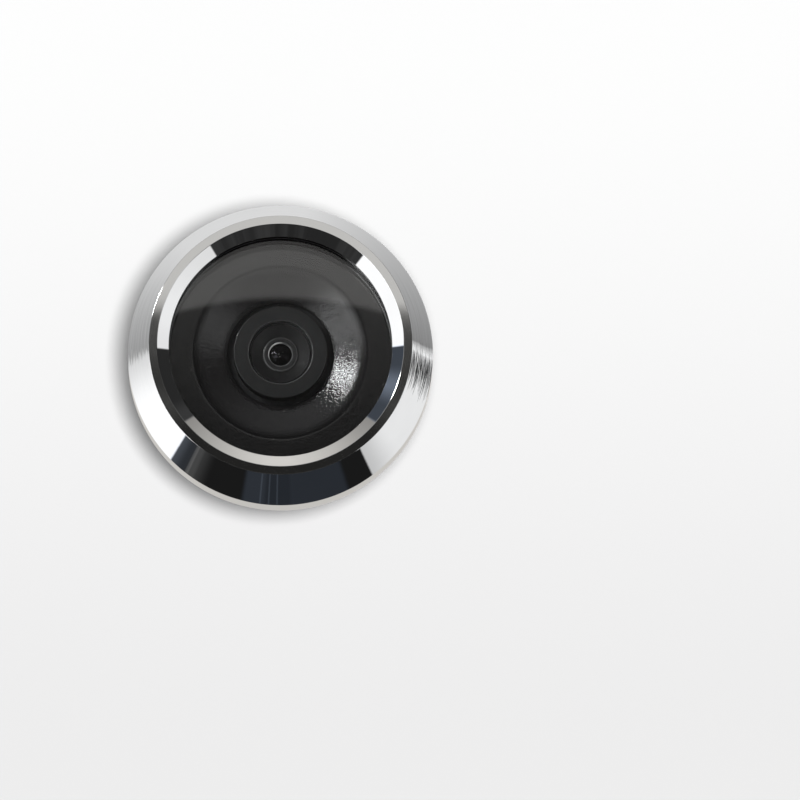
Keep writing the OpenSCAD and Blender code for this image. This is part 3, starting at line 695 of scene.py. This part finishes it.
# Painted highlight: the glass's edge lighter at the upper left, where the light falls
highlightUpperLeft = atGlass * (0.6 * place.roundZ - 0.8 * place.roundX).rise(0.3, 0.9)  # brightest at the upper left
wearAndHighlightTint = highlightUpperLeft.tint(retainer["worn"], retainer["highlightMost"])
lensTint = wearAndHighlightRing.tint(lensMarks.tint(retainer["dark"], retainer["light"]), wearAndHighlightTint)
showSurface(principled(Base_Color=lensTint, Roughness=0.4 + 0.12 * lensMarks - 0.2 * wearAndHighlightRing,
                       Coat_Weight=wearAndHighlightRing, Coat_Roughness=0.08, Coat_IOR=1.9, Specular_IOR_Level=0.25,
                       Normal=bump(lensMarks, retainer["marks"])))
retainerRing = turnedRing([
    (retainer["aperture"], retainerBack, 0.03), (retainer["footInner"], retainerBack, 0.03),
    (retainer["footInner"], retainerFoot, 0.03), (retainer["footOuter"], retainerFoot, 0.03),
    (retainer["footOuter"], retainerBack, 0.03), (retainerRadius, retainerBack, 0.03),
    (retainerRadius, retainerFront, 0.05), (retainerRadius - 0.12, retainerFront, 0.04),
    (retainer["nose"] + 0.12, funnelFoot, 0.06), (retainer["nose"], funnelFoot, 0.04),
    (retainer["nose"], noseFront, 0.12), (retainer["aperture"] + retainer["mouth"], noseFront, 0.08),
    (retainer["aperture"], noseFront - retainer["mouth"], 0.05)], 128)
addPiece("ringed_retainer", [retainerRing], "head", ["lens_retainer"], lensBlack)

# Front element: domed glass with a purple coating, and pale specks near its middle as painted reflections

glass = {
    "domeRadius": 1.8, "domeHigh": 0.75, "hollowRadius": 1.4, "hollowHigh": 0.7, "rimArc": 5,
    "middle": (0.16, 0.14, 0.24), "outside": (0.05, 0.045, 0.07), "coat": (0.8, 0.77, 0.84),
    # share and tint of the pale specks that paint the lens's small inner reflections
    "dust": 0.6, "dustTint": (0.5, 0.5, 0.48),
}
lensBack, lensApex = levels("front_lens")
lensRim = lensApex - glass["domeHigh"]
lensRadius = outerRadius("front_lens")


# Cap of a ball from the axis to its edge: height falls from the apex by the ball's own circle
def capArc(radius, high, level, steps=24):
    ball = (radius * radius + high * high) / (2 * high)
    angle = np.linspace(0, math.asin(radius / ball), steps)
    return np.stack((ball * np.sin(angle), level + high - ball + ball * np.cos(angle)), -1)


# Outward directions of a path: its steps turned by a quarter
def pathDirections(path):
    step = np.gradient(path, axis=0)
    step = step / np.linalg.norm(step, axis=1, keepdims=True)
    return np.stack((step[:, 1], -step[:, 0]), -1)


hollow = capArc(glass["hollowRadius"], glass["hollowHigh"], lensBack)
dome = capArc(glass["domeRadius"], glass["domeHigh"], lensRim)[::-1]
rimPath, _ = roundedOutline([(0, lensBack, 0.02), (lensRadius, lensBack, 0.06), (lensRadius, lensRim, 0.06),
                             (0, lensRim, 0.02)], glass["rimArc"])
arcRows = glass["rimArc"] + 1
lensPath = np.concatenate((hollow, rimPath[arcRows:3 * arcRows], dome))  # the rim has the two outer corners
coated = startMaterial("coated_glass")
place = Place()
coatShade = place.radius.rise(0.2, 1.7)
tintGlass = filmOf(coatShade.tint(glass["middle"], glass["outside"]))
coatGloss = principled(Base_Color=(0, 0, 0, 1), Roughness=0.02, IOR=1.22, Specular_Tint=colour(glass["coat"]))
# Painted reflections: pale dust-like specks, only near the middle of the glass, stand in for the lens's small
# inner reflections
lensGlintSpecks = (1 - cells(place.flat, 4).rise(0.1, 0.22)) * (1 - place.radius.rise(0.3, 0.5))
lensGlintShade = principled(Base_Color=colour(glass["dustTint"]), Roughness=0.9)
showSurface(mixed(lensGlintSpecks * glass["dust"], added(tintGlass, coatGloss), lensGlintShade))
lensShape = closedSurface(*turnedGrid(lensPath, pathDirections(lensPath), 96), "cap")
addPiece("domed_front_glass", [lensShape], "head", ["front_lens"], coated)
print("lens made")

# Tube: plain shank, then a real helical thread, with a flanged spigot in the head

tube = {
    "bore": 5.8, "crest": 6.9, "root": 6.4, "shank": 6.95, "shankEnd": -12.0, "spigot": 7.4, "pitch": 1.0,
    "flange": 9.0, "flatHalf": 8.2, "flangeThick": 1.0, "columns": 96, "rowsPerPitch": 12, "runOut": 1.2,
    "arc": 4, "dark": (0.42, 0.39, 0.33), "light": (0.70, 0.67, 0.60), "marks": 0.004,
}
tubeBack, tubeFront = levels("threaded_tube")
angle = roundAngles(tube["columns"])
boreAndEnd, _ = roundedOutline([
    (tube["bore"], tubeFront, 0.05), (tube["bore"], tubeBack, 0.1), (tube["root"], tubeBack, 0.1),
    (tube["root"] + 0.1, tubeFront, 0)], tube["arc"])
arcRows = tube["arc"] + 1
boreAndEnd = boreAndEnd[1:3 * arcRows - 1]  # the collar closes its front end, and the thread its back end
rows = int((tube["shankEnd"] - tubeBack - 0.3) / tube["pitch"] * tube["rowsPerPitch"])
threadLevel = np.linspace(tubeBack + 0.2, tube["shankEnd"] - 0.1, rows)
phase = (threadLevel[:, None] / tube["pitch"] - angle / fullTurn) % 1  # the ridge climbs one pitch each turn
ridge = np.clip(1.25 - 3.2 * np.abs(phase - 0.5), 0, 1)
fade = np.clip((threadLevel - tubeBack) / tube["runOut"], 0, 1)
fade = fade * np.clip((tube["shankEnd"] - threadLevel) / tube["runOut"], 0, 1)
threadRadius = tube["root"] + (tube["crest"] - tube["root"]) * ridge * fade[:, None] ** 0.7
flangeBack = tubeFront - tube["flangeThick"]
flangeRadius = np.minimum(tube["flange"], tube["flatHalf"] / np.maximum(np.abs(np.cos(angle)), 0.1))
collar, _ = roundedOutline([
    (tube["root"], tube["shankEnd"], 0.05), (tube["shank"], tube["shankEnd"], 0.15), (tube["shank"], 0, 0.03),
    (tube["spigot"], 0, 0.08), (tube["spigot"], flangeBack, 0.05), (tube["flange"], flangeBack, 0.08),
    (tube["flange"], tubeFront, 0.08), (tube["bore"], tubeFront, 0.05)], tube["arc"])
collarOut, collarLevel = collar[:, :1], collar[:, 1]
cutFlange = np.minimum(collarOut, collarOut - tube["flange"] + flangeRadius)  # two flats on the flange
collarRadius = np.where(collarOut > tube["spigot"] + 0.3, cutFlange, collarOut)
tubeRadius = np.concatenate((boreAndEnd[:, :1] + 0 * angle, threadRadius, collarRadius + 0 * angle))
tubeLevel = np.concatenate((boreAndEnd[:, 1], threadLevel, collarLevel))[:, None]
tubePoints = roundAxis(tubeRadius, tubeLevel, angle)

plated = startMaterial("plated_brass")
place = Place()
tarnish = noise(place.flat, 0.35, 4, 0.6)
worn = place.radius.rise(tube["root"] + 0.05, tube["crest"] - 0.05)
platedMarks = place.turning(6, 3, 3)
platedTint = (tarnish * 0.5 + worn * 0.5).tint(tube["dark"], tube["light"])
showSurface(principled(Base_Color=platedTint, Metallic=1.0, Roughness=0.42 - 0.14 * worn + 0.12 * tarnish,
                       Normal=bump(platedMarks, tube["marks"])))
tubeShape = closedSurface(tubePoints, gridNormals(tubePoints))
addPiece("helical_tube", [tubeShape], "head", ["threaded_tube"], plated)
print("tube made")

# Nut: six flats, a chamfer on both faces and a bevelled mouth

nut = {"acrossFlats": 17.0, "bore": 6.95, "entry": 0.25, "crown": 1.3, "sharp": 14, "columns": 180, "arc": 3}
nutBack, nutFront = levels("clamp_nut")
nutThick = nutFront - nutBack
angle = roundAngles(nut["columns"])
flatHalf = nut["acrossFlats"] / 2
flatAngle = np.radians(30 + 60 * np.arange(6))
flatCos = np.maximum(np.cos(angle - flatAngle[:, None]), 0.25)
# Soft least of the six flats, and then of these and the crown: -log of the sum of exp(-sharp r), over sharp
hexRadius = -np.log(np.exp(-nut["sharp"] * flatHalf / flatCos).sum(0)) / nut["sharp"]
cornerRadius = flatHalf / math.cos(math.pi / 6)
deep = np.concatenate((np.linspace(0.02, 1.0, 15), np.linspace(1.3, nutThick - 1.3, 4),
                       nutThick - np.linspace(1.0, 0.02, 15)))
inFromFace = np.minimum(deep, nutThick - deep)
crownFoot = flatHalf - nut["entry"]
crownRadius = crownFoot + inFromFace * (cornerRadius + 1 - flatHalf + nut["entry"]) / nut["crown"]
softLeast = np.exp(-nut["sharp"] * hexRadius) + np.exp(-nut["sharp"] * crownRadius[:, None])
outer = -np.log(softLeast) / nut["sharp"]
mouth = nut["bore"] + nut["entry"]
bore, _ = roundedOutline([(mouth, nutFront, 0.03), (nut["bore"], nutFront - nut["entry"], 0.05),
                          (nut["bore"], nutBack + nut["entry"], 0.05), (mouth, nutBack, 0.03),
                          (flatHalf - 0.4, nutBack, 0.01), (flatHalf - 0.4, nutFront, 0.01)], nut["arc"])
bore = bore[:-nut["arc"] - 1]  # the outline's closing corner is not part of the nut
nutRadius = np.concatenate((bore[:, :1] + 0 * angle, outer[::-1]))
nutLevel = np.concatenate((bore[:, 1], nutFront - deep[::-1]))[:, None]
nutPoints = roundAxis(nutRadius, nutLevel, angle)
nutShape = closedSurface(nutPoints, gridNormals(nutPoints))
addPiece("hex_nut", [nutShape], "nut", ["clamp_nut"], plated)

# Washer and pad that the nut presses on the door

washer = {"bore": 7.15, "edge": 0.3, "dark": (0.48, 0.50, 0.53), "light": (0.68, 0.69, 0.70), "marks": 0.004}
zinc = startMaterial("zinc_steel")
place = Place()
zincCloud = noise(place.flat, 0.7, 4, 0.65)
zincMarks = noise(vector(place.x * 0.6, place.y, place.z * 6), 1, 3)
showSurface(principled(Base_Color=zincCloud.tint(washer["dark"], washer["light"]), Metallic=1.0,
                       Roughness=0.3 + 0.18 * zincCloud, Normal=bump(zincMarks, washer["marks"])))
washerBack, washerFront = levels("clamp_washer")
washerRadius = outerRadius("clamp_washer")
washerRing = turnedRing([
    (washer["bore"], washerBack, 0.12), (washerRadius, washerBack, washer["edge"]),
    (washerRadius, washerFront, 0.12), (washer["bore"], washerFront, washer["edge"])], 144)
addPiece("pressed_washer", [washerRing], "washer_set", ["clamp_washer"], zinc)

pad = {"bore": 7.15, "boreEdge": 0.15, "edge": 0.25, "scale": 5, "detail": 3, "coarse": 0.6, "relief": 0.02,
       "dark": (0.014, 0.014, 0.015), "light": (0.026, 0.026, 0.027), "rough": 0.62, "roughMore": 0.2}
rubber = grainFinish("sheet_rubber", pad)
padBack, padFront = levels("inner_pad")
padRadius = outerRadius("inner_pad")
padRing = turnedRing([
    (pad["bore"], padBack, pad["boreEdge"]), (padRadius, padBack, pad["edge"]),
    (padRadius, padFront, pad["edge"]), (pad["bore"], padFront, pad["boreEdge"])], 144)
addPiece("rubber_pad", [padRing], "washer_set", ["inner_pad"], rubber)

# Foam gasket against the door

gasket = {"bore": 7.7, "pores": 3.2, "smallPores": 7.5, "relief": 0.05,
          "dark": (0.009, 0.009, 0.01), "light": (0.03, 0.03, 0.032)}
foam = startMaterial("closed_cell_foam")
place = Place()
pores = cells(place.flat, gasket["pores"])
poreSmall = cells(place.flat, gasket["smallPores"])
foamTint = pores.rise(0.15, 0.6).tint(gasket["dark"], gasket["light"])
foamHeight = pores.rise(0.1, 0.5) + 0.5 * poreSmall.rise(0.1, 0.5)
showSurface(principled(Base_Color=foamTint, Roughness=0.85 + 0.1 * pores,
                       Normal=bump(foamHeight, gasket["relief"])))
gasketBack, gasketFront = levels("door_gasket")
gasketRadius = outerRadius("door_gasket")
gasketRing = turnedRing([
    (gasket["bore"], gasketBack, 0.1), (gasketRadius, gasketBack, 0.15), (gasketRadius, gasketFront, 0.08),
    (gasket["bore"], gasketFront, 0.08)], 192)
addPiece("foam_gasket", [gasketRing], "head", ["door_gasket"], foam)

# Bush that keeps the tube's end smooth for the ribbon

bush = {"bore": 4.55, "body": 5.75, "collar": 0.8, "scale": 4, "detail": 3, "coarse": 0.5, "relief": 0.01,
        "dark": (0.012, 0.012, 0.012), "light": (0.022, 0.022, 0.022), "rough": 0.4, "roughMore": 0.15}
bushBlack = grainFinish("bush_plastic", bush)
bushBack, bushFront = levels("tube_bush")
bushRadius = outerRadius("tube_bush")
collarFront = bushBack + bush["collar"]
bushRing = turnedRing([
    (bush["bore"], bushBack, 0.4), (bushRadius, bushBack, 0.25), (bushRadius, collarFront, 0.03),
    (bush["body"], collarFront, 0.03), (bush["body"], bushFront, 0.12), (bush["bore"], bushFront, 0.3)], 96)
addPiece("smooth_bush", [bushRing], "head", ["tube_bush"], bushBlack)
print("clamp and gaskets made")

# Finishes of the pieces that keep their solid shapes

def finishNodes(material, *names):
    for name in names:
        for slot in nodes[name].material_slots:
            slot.material = material


finishNodes(lensBlack, "front_spacer", "aperture_stop", "rear_spacer", "lens_barrel", "lens_lock_ring")
finishNodes(rubber, "cover_gasket")

adhesive = {"scale": 6, "detail": 3, "coarse": 0.5, "relief": 0.01,
            "dark": (0.010, 0.010, 0.011), "light": (0.02, 0.02, 0.021), "rough": 0.6, "roughMore": 0.2}
finishNodes(grainFinish("black_adhesive", adhesive), "window_seal")

holder = {"scale": 4.5, "detail": 3, "coarse": 0.6, "relief": 0.015,
          "dark": (0.006, 0.006, 0.0064), "light": (0.012, 0.012, 0.0126), "rough": 0.6, "roughMore": 0.15}
finishNodes(grainFinish("holder_plastic", holder, Specular_IOR_Level=0.2), "lens_holder")

pin = {"scale": 4, "detail": 3, "coarse": 0.5, "relief": 0.004,
       "dark": (0.012, 0.012, 0.013), "light": (0.022, 0.022, 0.024), "rough": 0.5, "roughMore": 0.15}
finishNodes(grainFinish("blackened_steel", pin, Metallic=0.6), "locating_pin")

latch = {"scale": 5, "detail": 2, "coarse": 0.5, "relief": 0.006,
         "dark": (0.045, 0.03, 0.022), "light": (0.07, 0.05, 0.036), "rough": 0.42, "roughMore": 0.15}
finishNodes(grainFinish("latch_plastic", latch), "socket_latch")

cover = {"scale": 6, "detail": 3, "coarse": 0.6, "relief": 0.02,
         "dark": (0.05, 0.05, 0.054), "light": (0.085, 0.085, 0.09), "rough": 0.45, "roughMore": 0.2}
finishNodes(grainFinish("dark_alloy", cover, Metallic=0.3), "rear_cover")

clear = {"haze": 1.2, "dark": (0.80, 0.84, 0.86), "light": (0.9, 0.92, 0.93), "bends": 1.6}
clearLens = startMaterial("lens_glass")
haze = noise(Place().flat, clear["haze"], 2)
clearGloss = principled(Base_Color=(0, 0, 0, 1), Roughness=0.02, IOR=clear["bends"])
showSurface(added(filmOf(haze.tint(clear["dark"], clear["light"])), clearGloss))
finishNodes(clearLens, "middle_lens", "rear_lens")

filtered = {"haze": 1.2, "dark": (0.5, 0.68, 0.76), "light": (0.56, 0.74, 0.8), "coat": (1.0, 0.7, 0.75)}
filterGlass = startMaterial("filter_glass")
haze = noise(Place().flat, filtered["haze"], 2)
filterGloss = principled(Base_Color=(0, 0, 0, 1), Roughness=0.02, Specular_Tint=colour(filtered["coat"]))
showSurface(added(filmOf(haze.tint(filtered["dark"], filtered["light"])), filterGloss))
finishNodes(filterGlass, "ir_filter")

screws = {"dark": (0.48, 0.49, 0.5), "light": (0.64, 0.65, 0.66), "marks": 0.004}
steel = startMaterial("plain_steel")
place = Place()
steelMarks = noise(vector(place.x * 3, place.y * 0.8, place.z * 3), 1.5, 3)
showSurface(principled(Base_Color=steelMarks.tint(screws["dark"], screws["light"]), Metallic=1.0,
                       Roughness=0.26 + 0.16 * steelMarks, Normal=bump(steelMarks, screws["marks"])))
finishNodes(steel, "board_screws", "cover_screws")

sensor = {"halfX": 2.2, "halfZ": 1.7, "edge": 0.05, "package": (0.09, 0.095, 0.1),
          "dark": (0.02, 0.03, 0.05), "light": (0.05, 0.04, 0.08)}
sensorPackage = startMaterial("sensor_package")
place = Place()
activeX = 1 - abs(place.x).rise(sensor["halfX"], sensor["halfX"] + sensor["edge"])
activeZ = 1 - abs(place.z).rise(sensor["halfZ"], sensor["halfZ"] + sensor["edge"])
active = activeX * activeZ
pixels = noise(place.flat, 9, 1).tint(sensor["dark"], sensor["light"])
showSurface(principled(Base_Color=active.tint(sensor["package"], pixels), Roughness=0.5 - 0.38 * active))
finishNodes(sensorPackage, "image_sensor")

board = {"mask": (0.012, 0.12, 0.055), "trace": (0.03, 0.2, 0.10), "via": (0.55, 0.5, 0.38), "relief": 0.02,
         "traceHalf": 0.07}
circuitBoard = startMaterial("circuit_board")
place = Place()
traceX = abs(Wire.sums("PINGPONG", place.x + 0.4 * place.z, 0.45) - 0.2) < board["traceHalf"]
traceZ = abs(Wire.sums("PINGPONG", place.z - 0.2 * place.x, 0.6) - 0.3) < board["traceHalf"]
block = noise(place.flat, 0.7, 1) > 0.5
trace = traceX * block + traceZ * (1 - block)
via = 1 - cells(place.flat, 1.3).rise(0.1, 0.13)
boardTint = via.tint(trace.tint(board["mask"], board["trace"]), board["via"])
showSurface(principled(Base_Color=boardTint, Roughness=0.34 - 0.06 * trace, Metallic=via,
                       Normal=bump(trace + via, board["relief"])))
finishNodes(circuitBoard, "sensor_board")

chip = {"aside": 2.2, "bodyHalf": 0.26, "dark": (0.33, 0.23, 0.13), "light": (0.45, 0.32, 0.2),
        "tin": (0.62, 0.62, 0.62)}
ceramic = startMaterial("chip_ceramic")
place = Place()
tinned = abs(abs(place.x) - chip["aside"]).rise(chip["bodyHalf"], chip["bodyHalf"] + 0.03)
chipGrain = noise(place.flat, 8, 2)
chipTint = tinned.tint(chipGrain.tint(chip["dark"], chip["light"]), chip["tin"])
showSurface(principled(Base_Color=chipTint, Metallic=tinned,
                       Roughness=0.45 - 0.15 * tinned + 0.1 * chipGrain))
finishNodes(ceramic, "board_components")

socket = {"pitch": 0.25, "contactHalf": 0.06, "reach": 0.42, "relief": 0.006,
          "dark": (0.66, 0.62, 0.52), "light": (0.76, 0.72, 0.62), "contact": (0.75, 0.62, 0.34)}
socketPlastic = startMaterial("socket_plastic")
place = Place()
fromContact = abs(Wire.sums("PINGPONG", place.x, socket["pitch"]) - socket["pitch"] / 2)
contact = (fromContact < socket["contactHalf"]) * (abs(place.z) < socket["reach"])
socketGrain = noise(place.flat, 5, 2)
socketTint = contact.tint(socketGrain.tint(socket["dark"], socket["light"]), socket["contact"])
showSurface(principled(Base_Color=socketTint, Metallic=contact,
                       Roughness=0.5 - 0.2 * contact + 0.1 * socketGrain,
                       Normal=bump(socketGrain, socket["relief"])))
finishNodes(socketPlastic, "ribbon_socket")
print("finishes set")
